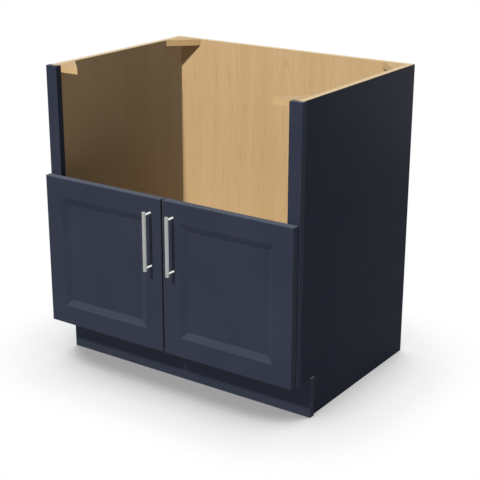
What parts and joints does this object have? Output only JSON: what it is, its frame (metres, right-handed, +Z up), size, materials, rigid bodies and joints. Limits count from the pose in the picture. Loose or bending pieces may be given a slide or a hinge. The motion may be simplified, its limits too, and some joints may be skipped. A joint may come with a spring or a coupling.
{
  "type": "sink base cabinet",
  "caption": "Face-frame base cabinet for an apron-front sink: open sink bay above mitred, recessed-panel doors with bar pulls and concealed hinges, set-back toe board, maple inside.",
  "frame": {"origin": "middle of the whole outline at floor level", "axes": "+X to the right seen from the front, the doors face -Y, +Z up"},
  "size_m": [0.8382, 0.665, 0.8763],
  "materials": {
    "navy_paint": "satin navy paint on hardwood",
    "painted_plywood": "plywood, satin navy outside, clear maple inside",
    "maple_plywood": "clear-coated maple plywood",
    "maple_solid": "planed maple",
    "satin_nickel": "satin nickel",
    "hinge_steel": "nickel-plated pressed steel",
    "zinc_screws": "zinc-plated",
    "bumper_rubber": "clear soft bumper"
  },
  "bodies": {
    "cabinet": {"back_panel": "maple_plywood", "back_screws": "zinc_screws", "bottom_rail": "navy_paint", "corner_block_dowels": "maple_solid", "floor_panel": "maple_plywood", "front_left_corner_block": "maple_solid", "front_right_corner_block": "maple_solid", "hinge_plate_screws": "zinc_screws", "left_lower_hinge_arm": "hinge_steel", "left_side_panel": "painted_plywood", "left_stile": "navy_paint", "left_toe_block": "maple_solid", "left_upper_hinge_arm": "hinge_steel", "mid_rail": "navy_paint", "rear_left_corner_block": "maple_solid", "rear_right_corner_block": "maple_solid", "right_lower_hinge_arm": "hinge_steel", "right_side_panel": "painted_plywood", "right_stile": "navy_paint", "right_toe_block": "maple_solid", "right_upper_hinge_arm": "hinge_steel", "toe_board": "navy_paint", "toe_screws": "zinc_screws"},
    "left_door": {"left_door_bottom_rail": "navy_paint", "left_door_bumpers": "bumper_rubber", "left_door_hinge_pins": "hinge_steel", "left_door_hinge_screws": "zinc_screws", "left_door_inner_stile": "navy_paint", "left_door_lower_hinge_cup": "hinge_steel", "left_door_outer_stile": "navy_paint", "left_door_panel": "navy_paint", "left_door_top_rail": "navy_paint", "left_door_upper_hinge_cup": "hinge_steel", "left_pull_bar": "satin_nickel", "left_pull_posts": "satin_nickel", "left_pull_screws": "zinc_screws"},
    "right_door": {"right_door_bottom_rail": "navy_paint", "right_door_bumpers": "bumper_rubber", "right_door_hinge_pins": "hinge_steel", "right_door_hinge_screws": "zinc_screws", "right_door_inner_stile": "navy_paint", "right_door_lower_hinge_cup": "hinge_steel", "right_door_outer_stile": "navy_paint", "right_door_panel": "navy_paint", "right_door_top_rail": "navy_paint", "right_door_upper_hinge_cup": "hinge_steel", "right_pull_bar": "satin_nickel", "right_pull_posts": "satin_nickel", "right_pull_screws": "zinc_screws"}
  },
  "joints": [
    {"name": "left_door_hinge", "type": "hinge", "parent": "cabinet", "child": "left_door", "pos_m": [-0.4089, -0.28585, 0.34305], "axis": [0, 0, 1], "range_deg": [-100, 0]},
    {"name": "right_door_hinge", "type": "hinge", "parent": "cabinet", "child": "right_door", "pos_m": [0.4089, -0.28585, 0.34305], "axis": [0, 0, 1], "range_deg": [0, 100]}
  ]
}
